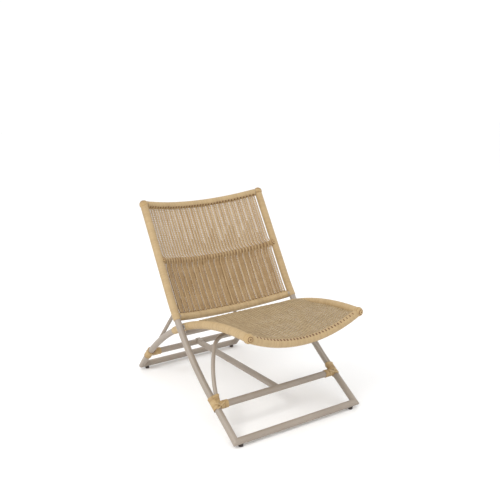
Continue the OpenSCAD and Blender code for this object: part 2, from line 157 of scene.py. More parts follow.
def inner_arc(x, first, last, step=PATH_STEP):
    """Points along the inner side tube, between two slopes."""
    a = np.linspace(first, last, max(3, round(abs(last - first) * INNER_R / step)))
    return xyz(x, INNER_C + INNER_R * np.stack([np.sin(a), np.cos(a)], -1))


def bow_depth(x, half, depth):
    """How far a bowed rail stands from its chord at x across."""
    radius = (half * half + depth * depth) / (2 * depth)
    return np.sqrt(radius * radius - np.square(x)) - radius + depth


def bowed_rail(chord, towards, half, depth, reach, step=PATH_STEP):
    """Points of a rail bowed across the chair, out to x = -reach and reach."""
    x = np.linspace(-reach, reach, round(2 * reach / step))
    return xyz(x, chord + bow_depth(x, half, depth)[:, None] * towards)


# ---- Mesh building ----


def mesh_object(name, verts, quads, tone, tris):
    """A smooth mesh object from vertices, quads and triangles, with a tone per vertex."""
    mesh = bpy.data.meshes.new(name)
    loops = np.concatenate([quads.ravel(), tris.ravel()])
    starts = np.concatenate(
        [np.arange(len(quads)) * 4, len(quads) * 4 + np.arange(len(tris)) * 3]
    )
    mesh.vertices.add(len(verts))
    mesh.vertices.foreach_set("co", np.asarray(verts, np.float32).ravel())
    mesh.loops.add(len(loops))
    mesh.loops.foreach_set("vertex_index", loops.astype(np.int32))
    mesh.polygons.add(len(starts))
    mesh.polygons.foreach_set("loop_start", starts.astype(np.int32))
    mesh.update(calc_edges=True)
    mesh.shade_smooth()
    layer = mesh.attributes.new("tone", "FLOAT", "POINT")
    layer.data.foreach_set("value", np.asarray(tone, np.float32))
    obj = bpy.data.objects.new(name, mesh)
    bpy.context.collection.objects.link(obj)
    return obj


def grid_quads(rows, cols):
    """Quads of a grid of vertices whose last column joins the first."""
    i = np.arange(rows - 1)[:, None]
    j = np.arange(cols)[None, :]
    k = (j + 1) % cols
    quad = np.stack([i * cols + j, i * cols + k, (i + 1) * cols + k, (i + 1) * cols + j], -1)
    return quad.reshape(-1, 4)


def end_fans(rows, cols):
    """Triangles that close both ends of a grid whose last column joins the first."""
    j = np.arange(1, cols - 1)
    start = np.stack([np.zeros_like(j), j + 1, j], -1)
    end = np.stack([np.zeros_like(j), j, j + 1], -1) + (rows - 1) * cols
    return np.concatenate([start, end])


def closed_tube(name, verts, rows, cols, tone):
    """A mesh object from rings of vertices, closed at both ends."""
    quads = grid_quads(rows, cols)
    return mesh_object(name, verts.reshape(-1, 3), quads, tone.ravel(), end_fans(rows, cols))


def path_frames(points, across):
    """Normal and binormal along a path whose plane's normal is across."""
    tangent = np.gradient(points, axis=0)
    tangent /= np.linalg.norm(tangent, axis=1, keepdims=True)
    binormal = np.broadcast_to(np.asarray(across, float), points.shape)
    binormal = binormal - (binormal * tangent).sum(1, keepdims=True) * tangent
    binormal /= np.linalg.norm(binormal, axis=1, keepdims=True)
    return np.cross(binormal, tangent), binormal


def run_along(points):
    """The length run from a path's start to each of its points."""
    return np.concatenate([[0], np.cumsum(np.linalg.norm(np.diff(points, axis=0), axis=1))])


def sunk_ends(radius, run, core):
    """The radius with a path's first and last rings sunk into the core, and each one's
    distance from the nearer end."""
    edge = np.minimum(run, run[-1] - run)[:, None]
    return np.where(edge < LIP_RUN, core * LIP_SHRINK, radius), edge


def rings_round(points, normal, binormal, angle, radius):
    """Rings of vertices round a path."""
    spoke = (
        normal[:, None, :] * np.cos(angle)[None, :, None]
        + binormal[:, None, :] * np.sin(angle)[None, :, None]
    )
    return points[:, None, :] + spoke * radius[:, :, None]


def ridge(phase):
    """A half-round strand's height across its width, for a phase that counts turns."""
    f = phase - np.floor(phase)
    return np.sqrt(np.clip(1 - np.square(2 * f - 1), 0, 1))


def random_tones(phase):
    """One random number for each whole turn of a phase."""
    table = rng.uniform(-1, 1, RANDOM_TABLE)
    return table[np.floor(phase).astype(int) % RANDOM_TABLE]


def wound(name, points, across, r_core, r_out, pitch=WIND_PITCH, around=32):
    """A strand wound round a path: one spiral rib, real in the mesh."""
    normal, binormal = path_frames(points, across)
    run = run_along(points)
    turn = np.arange(around) / around
    phase = run[:, None] / pitch - turn[None, :] + PHASE_LIFT
    wave = rng.normal(0, 1, RANDOM_TABLE)[np.floor(phase).astype(int) % RANDOM_TABLE]
    height = (r_out - r_core) * (0.56 + 0.44 * ridge(phase)) + WAVE * wave
    radius, _ = sunk_ends(r_core + height, run, r_core)
    verts = rings_round(points, normal, binormal, 2 * math.pi * turn, radius)
    return closed_tube(name, verts, len(points), around, random_tones(phase))


PAIR_SWELL = 0.5  # the last turn, at the top, is the fattest
# Painted shade: a darker band at both ends of a lashing, where it meets the tube
PAIR_END_SHADE = 2.0  # the ends are darker
PAIR_END_SHADE_RUN = 0.0012


def hull_radius(angle, offset, r_first, r_second):
    """How far the hull of two circles reaches at an angle from the first one's centre."""
    t = np.linspace(0, 1, 9)
    reach = np.linalg.norm(offset, axis=-1)[:, None, None] * t
    bearing = np.arctan2(offset[:, 1], offset[:, 0])[:, None, None]
    swing = angle[None, :, None] - bearing
    radius = r_first + (r_second - r_first) * t
    inside = np.square(radius) - np.square(reach * np.sin(swing))
    far = reach * np.cos(swing) + np.sqrt(np.clip(inside, 0, None))
    return np.where(inside > 0, far, 0).max(axis=-1)


def wound_pair(name, points, offset, thickness, pitch, around=48):
    """A strand wound round a leg and a hoop's foot together; offset is the foot's place."""
    normal, binormal = path_frames(points, ACROSS)
    run = run_along(points)
    turn = np.arange(around) / around
    angle = 2 * math.pi * turn
    flat = np.stack([(offset * normal).sum(1), (offset * binormal).sum(1)], -1)
    core = hull_radius(angle, flat, TUBE_R, HOOP_R)
    phase = run[:, None] / pitch - turn[None, :] + PHASE_LIFT
    last_turn = np.clip(1 - np.abs(run - run[-1] + pitch / 2) / pitch, 0, 1)[:, None]
    swell = 1 + PAIR_SWELL * last_turn
    radius = core + thickness * (0.35 + 0.65 * ridge(phase)) * swell
    radius, edge = sunk_ends(radius, run, core)
    verts = rings_round(points, normal, binormal, angle, radius)
    # Painted shade darkens the lashing's two ends
    tone = random_tones(phase) - PAIR_END_SHADE * (edge < PAIR_END_SHADE_RUN)
    return closed_tube(name, verts, len(points), around, tone)


BALL_GROOVE = 0.075  # of the ball's radius
DIMPLE_R = 0.0035
DIMPLE_DEPTH = 0.003
SEAM_R = 0.0095
SEAM_W = 0.0013
SEAM_DEPTH = 0.0010
# Painted shade: how much the dimple and the seam are darkened
DIMPLE_PAINTED_SHADE = 6.0
SEAM_PAINTED_SHADE = 4.5
POLE_GAP = 0.01  # radians left open at each pole for the end fans


def wound_ball(name, centre, pole, r_out, pitch=BALL_PITCH, rings=110, around=48):
    """A ball of wound strand with a coiled cap that faces along pole, with painted shade in its
    dimple and seam.
    """
    pole = Vector(pole).normalized()
    turn_to = Matrix(np.array(pole.to_track_quat("Z", "Y").to_matrix()).tolist())
    polar = np.linspace(POLE_GAP, math.pi - POLE_GAP, rings)
    turn = np.arange(around) / around
    phase = polar[:, None] * r_out / pitch - turn[None, :] + PHASE_LIFT
    radius = r_out * (1 - BALL_GROOVE * (1 - ridge(phase)))
    # A dimple at the coil's eye, and a seam round the cap
    dimple = np.clip(1 - polar * r_out / DIMPLE_R, 0, 1)[:, None]
    seam = np.exp(-np.square((polar * r_out - SEAM_R) / SEAM_W))[:, None]
    radius = radius - DIMPLE_DEPTH * dimple - SEAM_DEPTH * seam
    angle = -2 * math.pi * turn[None, :]
    ring = np.sin(polar)[:, None]
    local = np.stack(
        [
            radius * ring * np.cos(angle),
            radius * ring * np.sin(angle),
            radius * np.cos(polar)[:, None] * np.ones_like(angle),
        ],
        -1,
    )
    verts = local.reshape(-1, 3) @ np.array(turn_to).T + np.asarray(centre)
    # Painted shade darkens the dimple at the coil's eye and the seam round the cap
    tone = random_tones(phase) - DIMPLE_PAINTED_SHADE * dimple - SEAM_PAINTED_SHADE * seam
    return closed_tube(name, verts, rings, around, tone)


def strand_set(name, paths, ups, width, height, tones, sides=7):
    """Many strands in one mesh. paths is (strands, points, 3); ups is the surface normal."""
    count, points = paths.shape[:2]
    tangent = np.gradient(paths, axis=1)
    tangent /= np.linalg.norm(tangent, axis=2, keepdims=True)
    side = np.cross(ups, tangent)
    side /= np.linalg.norm(side, axis=2, keepdims=True)
    up = np.cross(tangent, side)
    angle = 2 * math.pi * np.arange(sides) / sides
    verts = (
        paths[:, :, None, :]
        + side[:, :, None, :] * (np.cos(angle) * width / 2)[None, None, :, None]
        + up[:, :, None, :] * (np.sin(angle) * height / 2)[None, None, :, None]
    )
    first = (np.arange(count) * points * sides)[:, None, None]
    quads = (grid_quads(points, sides)[None] + first).reshape(-1, 4)
    tris = (end_fans(points, sides)[None] + first).reshape(-1, 3)
    tone = np.broadcast_to(np.reshape(tones, (count, -1, 1)), (count, points, sides))
    return mesh_object(name, verts.reshape(-1, 3), quads, tone.ravel(), tris)


# ---- Materials ----


def nodes_of(mat):
    """A material's node tree and its shader."""
    mat.use_nodes = True
    tree = mat.node_tree
    return tree, tree.nodes["Principled BSDF"]


def add(tree, kind, **values):
    """A new node, with values for its inputs or its settings."""
    node = tree.nodes.new(kind)
    for key, value in values.items():
        if key in node.inputs:
            node.inputs[key].default_value = value
        else:
            setattr(node, key, value)
    return node


def times_plus(tree, source, share, base):
    """The output of source * share + base, where base is a number or another output."""
    node = add(tree, "ShaderNodeMath", operation="MULTIPLY_ADD")
    tree.links.new(source, node.inputs[0])
    node.inputs[1].default_value = share
    if isinstance(base, float):
        node.inputs[2].default_value = base
    else:
        tree.links.new(base, node.inputs[2])
    return node.outputs[0]


def ramp(tree, fac, stops):
    """A colour ramp from (position, colour) stops."""
    node = tree.nodes.new("ShaderNodeValToRGB")
    node.color_ramp.elements[0].position, node.color_ramp.elements[0].color = stops[0]
    node.color_ramp.elements[1].position, node.color_ramp.elements[1].color = stops[-1]
    for position, colour in stops[1:-1]:
        node.color_ramp.elements.new(position).color = colour
    tree.links.new(fac, node.inputs["Fac"])
    return node.outputs["Color"]


def bump(tree, height, strength, distance, shader):
    """Fine relief on a shader's normal."""
    node = add(tree, "ShaderNodeBump", Strength=strength, Distance=distance)
    tree.links.new(height, node.inputs["Height"])
    tree.links.new(node.outputs["Normal"], shader.inputs["Normal"])


def wicker_material(name, dark, mid, light, roughness, vary):
    """Synthetic wicker: each strand its own tone, with fine streaks and a waxy gloss."""
    mat = bpy.data.materials.new(name)
    tree, shader = nodes_of(mat)
    coord = add(tree, "ShaderNodeTexCoord")
    strand = add(tree, "ShaderNodeAttribute", attribute_name="tone")
    patch = add(tree, "ShaderNodeTexNoise", Scale=26.0, Detail=3.0)
    fine = add(tree, "ShaderNodeTexNoise", Scale=900.0, Detail=4.0, Roughness=0.7)
    for tex in (patch, fine):
        tree.links.new(coord.outputs["Object"], tex.inputs["Vector"])
    grain = times_plus(tree, strand.outputs["Fac"], vary, 0.25)
    grain = times_plus(tree, patch.outputs["Fac"], 0.25, grain)
    grain = times_plus(tree, fine.outputs["Fac"], 0.25, grain)
    colour = ramp(tree, grain, [(0.15, dark), (0.5, mid), (0.85, light)])
    tree.links.new(colour, shader.inputs["Base Color"])
    shader.inputs["Roughness"].default_value = roughness
    bump(tree, fine.outputs["Fac"], 0.35, 0.0004, shader)
    return mat


def coat_material():
    """Satin taupe powder coat with its fine orange peel."""
    mat = bpy.data.materials.new("powder_coat")
    tree, shader = nodes_of(mat)
    coord = add(tree, "ShaderNodeTexCoord")
    cloud = add(tree, "ShaderNodeTexNoise", Scale=9.0, Detail=2.0)
    peel = add(tree, "ShaderNodeTexNoise", Scale=1400.0, Detail=2.0)
    for tex in (cloud, peel):
        tree.links.new(coord.outputs["Object"], tex.inputs["Vector"])
    colour = ramp(
        tree,
        cloud.outputs["Fac"],
        [(0.3, (0.298, 0.249, 0.203, 1)), (0.7, (0.335, 0.283, 0.233, 1))],
    )
    tree.links.new(colour, shader.inputs["Base Color"])
    rough = add(tree, "ShaderNodeMapRange")
    rough.inputs["To Min"].default_value = 0.36
    rough.inputs["To Max"].default_value = 0.5
    tree.links.new(cloud.outputs["Fac"], rough.inputs["Value"])
    tree.links.new(rough.outputs["Result"], shader.inputs["Roughness"])
    bump(tree, peel.outputs["Fac"], 0.12, 0.0002, shader)
    return mat


def plain_material(name, low, high, scale, roughness, metallic=0.0):
    """A moulded or metal surface with a slight cloud in its colour."""
    mat = bpy.data.materials.new(name)
    tree, shader = nodes_of(mat)
    coord = add(tree, "ShaderNodeTexCoord")
    cloud = add(tree, "ShaderNodeTexNoise", Scale=scale, Detail=3.0)
    tree.links.new(coord.outputs["Object"], cloud.inputs["Vector"])
    colour = ramp(tree, cloud.outputs["Fac"], [(0.3, low), (0.7, high)])
    tree.links.new(colour, shader.inputs["Base Color"])
    shader.inputs["Roughness"].default_value = roughness
    shader.inputs["Metallic"].default_value = metallic
    bump(tree, cloud.outputs["Fac"], 0.1, 0.0003, shader)
    return mat


COAT = coat_material()
WOUND = wicker_material(
    "wicker_wound",
    dark=(0.27, 0.17, 0.08, 1),
    mid=(0.43, 0.305, 0.155, 1),
    light=(0.52, 0.38, 0.21, 1),
    roughness=0.5,
    vary=0.08,
)
SEAT = wicker_material(
    "wicker_seat",
    dark=(0.17, 0.115, 0.055, 1),
    mid=(0.365, 0.262, 0.140, 1),
    light=(0.49, 0.385, 0.235, 1),
    roughness=0.6,
    vary=0.12,
)
BOUND = wicker_material(
    "wicker_bound",
    dark=(0.15, 0.068, 0.022, 1),
    mid=(0.42, 0.285, 0.13, 1),
    light=(0.54, 0.40, 0.22, 1),
    roughness=0.5,
    vary=0.12,
)
WOVEN = wicker_material(
    "wicker_woven",
    dark=(0.20, 0.11, 0.045, 1),
    mid=(0.410, 0.270, 0.127, 1),
    light=(0.54, 0.41, 0.24, 1),
    roughness=0.55,
    vary=0.09,
)
PLASTIC = plain_material(
    "glide_plastic", (0.030, 0.019, 0.016, 1), (0.045, 0.030, 0.024, 1), 60.0, 0.45
)
STEEL = plain_material("pin_steel", (0.45, 0.45, 0.44, 1), (0.62, 0.61, 0.6, 1), 200.0, 0.3, 1.0)


def finish_piece(obj, body, slot_name, material, *nodes):
    """Gives a piece its material and body, and hides the CAD nodes that it stands for."""
    obj.data.materials.append(material)
    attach(obj, body)
    if nodes:
        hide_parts(*nodes)
    return obj


# ---- Wound tubes ----

UPRIGHT_WRAP_SHORT = 0.006
SIDE_WRAP_SHORT = 0.006  # radians of the inner side tube's bend
BUTTON_R = 0.0135
BUTTON_IN = 0.011  # from the upright's axis to the button's centre
BUTTON_FORWARD = 0.003
RAIL_WRAP_GAP = 0.013  # from the upright's axis to where a rail's winding starts
TOP_WRAP_GAP = 0.012
FRONT_WRAP_GAP = 0.010
REAR_WRAP_R = 0.0145
REAR_WRAP_RINGS = 760


def upright_wrap(side, tag):
    """The winding of an upright, from below the seat to the top corner."""
    x = side * OUTER_W
    arc = outer_arc(x, WRAP_END_SLOPE, BACK_ANGLE)
    line = side_line(x, BACK_START, BACK_ANGLE, BACK_L - UPRIGHT_WRAP_SHORT)
    obj = wound("wound_upright_" + tag, np.vstack([arc, line[1:]]), ACROSS, TUBE_R, WRAP_R)
    finish_piece(obj, "outer_frame", "wicker", WOUND, "upright_wrap_" + tag)


def seat_side_wrap(side, tag):
    """The winding of an inner side tube along the seat."""
    points = inner_arc(side * INNER_W, SIDE_WRAP_SLOPE, SEAT_FRONT_SLOPE + SIDE_WRAP_SHORT)
    obj = wound("wound_seat_side_" + tag, points, ACROSS, TUBE_R, WRAP_R)
    finish_piece(obj, "inner_frame", "wicker", WOUND, "seat_side_wrap_" + tag)


def corner(name, body, side, yz, pole, node):
    """A ball of strand over a corner of the frame."""
    obj = wound_ball(name, xyz(side, yz), pole, CORNER_R)
    finish_piece(obj, body, "wicker", BOUND, node)


def back_rail_wrap(name, chord, r_out, reach, node, r_core=TUBE_R):
    """The winding of one of the back's bowed rails."""
    along = (0.0, *direction(BACK_ANGLE))
    points = bowed_rail(chord, BACKWARDS, OUTER_W, BACK_BOW, reach)
    obj = wound(name, points, along, r_core, r_out)
    finish_piece(obj, "outer_frame", "wicker", WOUND, node)


for side, tag in ((-1, "left"), (1, "right")):
    upright_wrap(side, tag)
    seat_side_wrap(side, tag)
    corner("corner_top_" + tag, "outer_frame", side * OUTER_W, BACK_TOP,
           (0.4 * side, *direction(BACK_ANGLE)), "top_corner_wrap_" + tag)
    corner("corner_seat_" + tag, "inner_frame", side * INNER_W, SEAT_FRONT,
           (0.1 * side, -1, 0.1), "seat_corner_wrap_" + tag)
    button = xyz(side * (OUTER_W - BUTTON_IN), MID_RAIL - BUTTON_FORWARD * BACKWARDS)
    obj = wound_ball("button_mid_" + tag, button, (0, *-BACKWARDS), BUTTON_R)
    finish_piece(obj, "outer_frame", "wicker", BOUND)

back_rail_wrap("wound_top_rail", BACK_TOP, WRAP_R, OUTER_W - TOP_WRAP_GAP, "top_rail_wrap")
back_rail_wrap("wound_mid_rail", MID_RAIL, MID_R, OUTER_W - RAIL_WRAP_GAP, "mid_rail_wrap",
               r_core=HOOP_R)
back_rail_wrap("wound_bottom_rail", BOTTOM_RAIL, WRAP_R, OUTER_W - RAIL_WRAP_GAP,
               "bottom_rail_wrap")

down = np.array([0.0, -1.0])
rail = bowed_rail(SEAT_FRONT, down, INNER_W, SEAT_BOW, INNER_W - FRONT_WRAP_GAP)
obj = wound("wound_seat_front_rail", rail, (0.0, 1.0, 0.0), TUBE_R, WRAP_R)
finish_piece(obj, "inner_frame", "wicker", WOUND, "seat_front_rail_wrap")
rail_x = np.linspace(-INNER_W + RAIL_WRAP_GAP, INNER_W - RAIL_WRAP_GAP, REAR_WRAP_RINGS)
rail = xyz(rail_x, np.tile(SEAT_REAR, (REAR_WRAP_RINGS, 1)))
obj = wound("wound_seat_rear_rail", rail, (0.0, 1.0, 0.0), TUBE_R, REAR_WRAP_R)
finish_piece(obj, "inner_frame", "wicker", WOVEN, "seat_rear_rail_wrap")

# ---- Bindings at the four stretcher ends ----

STRAP_W = 0.0056
STRAP_T = 0.0026
STRAP_TONE = 1.5
STRAP_LIFT = 0.0011
STRAP_OVERLAP = 0.0014  # how much higher the second strap lies
STRAP_TUCK = 0.0022  # how far a strap's ends sink into the sleeves
PAIR_THICKEN = 0.0006
FRONT_BINDING_START = -0.016  # along the leg, from the stretcher
FRONT_BINDING_L = 0.052
FRONT_SLEEVE = 0.047
REAR_SLEEVE = 0.050
FRONT_HOOP_FOOT_X = 0.2578
REAR_HOOP_FOOT_X = 0.2215
FRONT_HOOP_LEAN = math.radians(6.6)
REAR_HOOP_LEAN = math.radians(24)


def hugging_strand(name, body, joint, leg_way, rail_way, start, end, lift):
    """A strand that crosses from a leg's sleeve to a stretcher's sleeve over their joint."""
    t = np.linspace(0, 1, 30)[:, None]
    way = (1 - t) * np.array(start) + t * np.array(end)
    way /= np.linalg.norm(way, axis=1, keepdims=True)
    off_leg = np.linalg.norm(np.cross(way, leg_way), axis=1)
    off_rail = np.where(way @ rail_way > 0, np.linalg.norm(np.cross(way, rail_way), axis=1), 1)
    tuck = np.abs(2 * t[:, 0] - 1) ** 6
    reach = (WRAP_R + lift - (STRAP_TUCK + lift) * tuck) / np.minimum(off_leg, off_rail)
    path = joint + way * reach[:, None]
    obj = strand_set(name, path[None], way[None], STRAP_W, STRAP_T, [[STRAP_TONE]])
    finish_piece(obj, body, "wicker", BOUND)


def binding(
    tag, side, body, half, joint, leg_points, leg_angle, sleeve, foot_x, plane, lean, node
):
    """One lashing round the leg and the hoop's foot, a sleeve on the stretcher, a cross.

    half is the leg's distance from the middle of the chair and joint its meeting with the
    stretcher; foot_x, plane and lean place the hoop's foot and the way that it rises.
    """
    leg_way = direction(leg_angle)
    up_leg = (leg_points[:, 1:] - joint) @ leg_way
    rise = np.clip(up_leg, 0, None) / math.cos(plane - leg_angle)
    hoop = xyz(side * (foot_x - rise * math.tan(lean)), joint + rise[:, None] * direction(plane))
    beside = np.where((up_leg > 0)[:, None], hoop - leg_points, 0)
    thickness = WRAP_R - TUBE_R + PAIR_THICKEN
    obj = wound_pair("binding_leg_" + tag, leg_points, beside, thickness, BIND_PITCH)
    finish_piece(obj, body, "wicker", BOUND, node)
    rings = round((sleeve - TUBE_R) / PATH_STEP)
    x = np.linspace(half - TUBE_R, half - sleeve, rings) * side
    rail = xyz(x, np.tile(joint, (len(x), 1)))
    obj = wound("binding_rail_" + tag, rail, (0.0, 0.0, 1.0), TUBE_R, WRAP_R, BIND_PITCH)
    finish_piece(obj, body, "wicker", BOUND)
    leg3 = np.array([0.0, *leg_way])
    rail3 = np.array([-side, 0.0, 0.0])
    face = np.array([0.0, -math.cos(leg_angle), 0.35])
    face /= np.linalg.norm(face)
    centre = np.array([side * half, *joint])
    for number, tilt in enumerate((1, -1)):
        # From beside the leg, over the face of the joint, to the sleeve's other edge
        start = (0.55 * tilt + 0.2) * leg3 + 0.75 * face - 0.35 * rail3
        end = 1.15 * rail3 + 0.65 * face - 0.45 * tilt * leg3
        lift = STRAP_LIFT + STRAP_OVERLAP * number
        name = f"binding_cross_{tag}_{number}"
        hugging_strand(name, body, centre, leg3, rail3, start, end, lift)


CROWN = MID_RAIL + (BACK_BOW + MID_R + HOOP_R + 0.0004) * BACKWARDS
REAR_HOOP_ANGLE = math.atan2(*(CROWN - REAR_STRETCHER)[::-1])
REAR_TURN = 0.026 / INNER_R  # the rear binding's half length, as an angle of the tube

for side, tag in ((-1, "left"), (1, "right")):
    leg_start = FRONT_STRETCHER + FRONT_BINDING_START * direction(LEG_ANGLE)
    leg = side_line(side * OUTER_W, leg_start, LEG_ANGLE, FRONT_BINDING_L)
    binding("front_" + tag, side, "outer_frame", OUTER_W, FRONT_STRETCHER, leg, LEG_ANGLE,
            FRONT_SLEEVE, FRONT_HOOP_FOOT_X, FRONT_HOOP_ANGLE, FRONT_HOOP_LEAN,
            "front_binding_" + tag)
    leg = inner_arc(side * INNER_W, REAR_STRETCHER_SLOPE + REAR_TURN,
                    REAR_STRETCHER_SLOPE - REAR_TURN)
    binding("rear_" + tag, side, "inner_frame", INNER_W, REAR_STRETCHER, leg,
            math.pi - REAR_STRETCHER_SLOPE, REAR_SLEEVE, REAR_HOOP_FOOT_X, REAR_HOOP_ANGLE,
            REAR_HOOP_LEAN, "rear_binding_" + tag)

# ---- Woven surfaces, with distances along each from a rail's axis ----

RIBS = 19
SEAT_TUCK = 0.003  # how far the seat's weave runs into the side wraps
WEAVE_END = 0.004  # from a rail's axis to where the ribs end
HALVES_MEET = 0.012  # the lower half ends this far below the mid rail
BAND_SPLIT = 0.0030
EDGE_IN = 0.002
WEFT_END = 0.012
UPRIGHT_STEP = 0.0022
WEFT_POINTS = 380
TONE_SPREAD = 0.6
THIN_SIDES = 6
STITCHES = 38
STITCH_R = WRAP_R + 0.0006
WEFTS_FROM, WEFTS_TO = -0.010, -0.0125
WARPS_FROM, WARPS_TO = -0.012, -0.009
WARP_SWING = 0.0006
WEFT_SWING = 0.0011
SLOT_R = WRAP_R + 0.0005
SLOT_PITCH = 0.0138
SLOTS_EACH_SIDE = 15


def normals(surface, u, v, h=1e-4):
    """Unit normals of a surface by differences."""
    du = surface(u + h, v) - surface(u - h, v)
    dv = surface(u, v + h) - surface(u, v - h)
    n = np.cross(du, dv)
    return n / np.linalg.norm(n, axis=-1, keepdims=True)


# Distances up the back from the bottom rail, and along the seat from the rear rail
BEND_RUN = (BACK_ANGLE - BOTTOM_SLOPE) * OUTER_R
BACK_RUN = BEND_RUN + BACK_L
MID_RUN = BEND_RUN + MID_RAIL_UP
SEAT_RUN = (SEAT_REAR_SLOPE - SEAT_FRONT_SLOPE) * INNER_R

# How far each rail lifts the weave that passes over it, and over what distance
MID_SWELL = 0.0118
MID_SWELL_RUN = 0.030
REAR_LIFT = 0.0135
REAR_LIFT_RUN = 0.11
FRONT_LIFT = 0.0085
FRONT_LIFT_RUN = 0.05
SEAT_LIFT = 0.001


def eased(f):
    """A smooth step of a value, clipped to 0 to 1."""
    near = np.clip(f, 0, 1)
    return near * near * (3 - 2 * near)


def back_surface(x, s):
    """The back rest's middle surface, x across and s up from the bottom rail."""
    x, s = np.broadcast_arrays(x, s)
    slope = BOTTOM_SLOPE + np.clip(s, None, BEND_RUN) / OUTER_R
    bend = OUTER_C + OUTER_R * np.stack([np.sin(slope), -np.cos(slope)], -1)
    rise = np.clip(s - BEND_RUN, 0, None)
    yz = bend + rise[..., None] * direction(BACK_ANGLE)
    swell = MID_SWELL * eased(1 - np.abs(s - MID_RUN) / MID_SWELL_RUN)
    depth = bow_depth(x, OUTER_W, BACK_BOW) - swell
    return xyz(x, yz + depth[..., None] * BACKWARDS)


def seat_surface(x, s):
    """The seat's top surface, x across and s forwards from the rear rail."""
    x, s = np.broadcast_arrays(x, s)
    slope = SEAT_REAR_SLOPE - s / INNER_R
    yz = INNER_C + INNER_R * np.stack([np.sin(slope), np.cos(slope)], -1)
    f = (SEAT_REAR_SLOPE - slope) / (SEAT_REAR_SLOPE - SEAT_FRONT_SLOPE)
    sag = SEAT_BOW * f * (1 - np.square(x / INNER_W))
    lift = REAR_LIFT * eased(1 - np.abs(s) / REAR_LIFT_RUN)
    lift = lift + FRONT_LIFT * eased(1 - (SEAT_RUN - s) / FRONT_LIFT_RUN)
    yz = yz + np.stack([np.zeros_like(sag), lift - sag + SEAT_LIFT], -1)
    return xyz(x, yz)


def upright_strands(name, places, first, last, width, height, lift, tones):
    """Strands that run up the back, at places across, lift in front of its surface."""
    places = np.asarray(places)
    s = np.linspace(first, last, max(8, round((last - first) / UPRIGHT_STEP)))
    u, v = np.meshgrid(places, s, indexing="ij")
    sway = 0.0003 * np.sin(v * 37 + 5 * np.arange(len(places))[:, None])
    n = normals(back_surface, u, v)
    beat = 0.00022 * np.cos(2 * math.pi * v / (2 * BACK_WEFT_PITCH))  # over each weft
    paths = back_surface(u + sway, v) + n * (lift + beat)[..., None]
    tones = tones + rng.uniform(-TONE_SPREAD, TONE_SPREAD, len(places))
    obj = strand_set(name, paths, n, width, height, tones)
    return finish_piece(obj, "outer_frame", "weave", WOVEN)


def weave_back():
    """Ribs of strand in front, strands behind them painted darker as shade, fine strands
    between.
    """
    low, high = WEAVE_END, BACK_RUN - WEAVE_END
    above = MID_RUN - HALVES_MEET
    ribs = (np.arange(RIBS) - RIBS // 2) * RIB_PITCH
    between = ribs[:-1] + RIB_PITCH / 2
    bands = np.concatenate([between - BAND_SPLIT, between + BAND_SPLIT])
    left_of_ribs = ribs[1:] - RIB_PITCH * 0.25
    right_of_ribs = ribs[:-1] + RIB_PITCH * 0.25
    gaps = np.concatenate([left_of_ribs, right_of_ribs])
    edges = np.array([-BACK_HALF + EDGE_IN, BACK_HALF - EDGE_IN])
    # Painted shade: the layers that lie behind the ribs get lower tones, darker the deeper they
    # lie
    # Name, places, first, last, width, height, lift, tone
    layers = [
        ("back_ribs_between", between, above, high, 0.0062, 0.0028, 0.0016, 0.8),
        ("back_bands", bands, low, above + 0.004, 0.0060, 0.0020, 0.0001, -0.5),
        ("back_under_high", left_of_ribs, above, high, 0.0034, 0.0018, -0.0014, -0.8),
    ]
    # The strands of the dense lower half run up past the mid rail to three heights
    for group, rise in enumerate((0.085, 0.120, 0.060)):
        layers.append((f"back_under_mid_{group}", gaps[group::3], above, MID_RUN + rise,
                       0.0042, 0.0016, -0.0016, -1.0))
    layers += [
        ("back_under", left_of_ribs, low, above, 0.0052, 0.0018, -0.0013, -1.5),
        ("back_under_low", right_of_ribs, low, above, 0.0050, 0.0018, -0.0013, -1.5),
        ("back_under_ribs", ribs, low, above, 0.0040, 0.0018, -0.0018, -2.5),
        # Painted shade: near black strands in the gaps over the mid rail
        ("back_mid_fill", gaps, MID_RUN - 0.009, MID_RUN + 0.008, 0.0050, 0.0022, 0.0012, -2.6),
        ("back_edges", edges, low, high, 0.0044, 0.0030, 0.0004, 0.2),
    ]
    main = upright_strands("back_ribs", ribs, low, high, 0.0064, 0.0030, 0.0018, 0.8)
    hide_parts("back_panel_upper", "back_panel_lower")
    for layer in layers:
        upright_strands(*layer)
    back_wefts("back_wefts_upper", above, BACK_RUN - WEFT_END, 2, 0.0007, -0.0004, 0.2)
    back_wefts("back_wefts_lower", WEFT_END, above, 1, 0.0017, -0.0001, -0.4)


def back_wefts(name, first, last, waves, swing, lift, tones):
    """Fine strands across the back; waves is how often each dives in a rib's pitch."""
    rows = np.arange(first, last, BACK_WEFT_PITCH)
    xs = np.linspace(-BACK_HALF, BACK_HALF, WEFT_POINTS)
    u, v = np.meshgrid(xs, rows, indexing="xy")
    v = v + 0.00025 * np.sin(u * 47 + 3 * np.arange(len(rows))[:, None])
    n = normals(back_surface, u, v)
    over = -np.cos(2 * math.pi * waves * u / RIB_PITCH)
    paths = back_surface(u, v) + n * (swing * over + lift)[..., None]
    tones = tones + rng.uniform(-TONE_SPREAD, TONE_SPREAD, len(rows))
    obj = strand_set(name, paths, n, 0.0028, 0.0014, tones, THIN_SIDES)
    finish_piece(obj, "outer_frame", "weave", WOVEN)


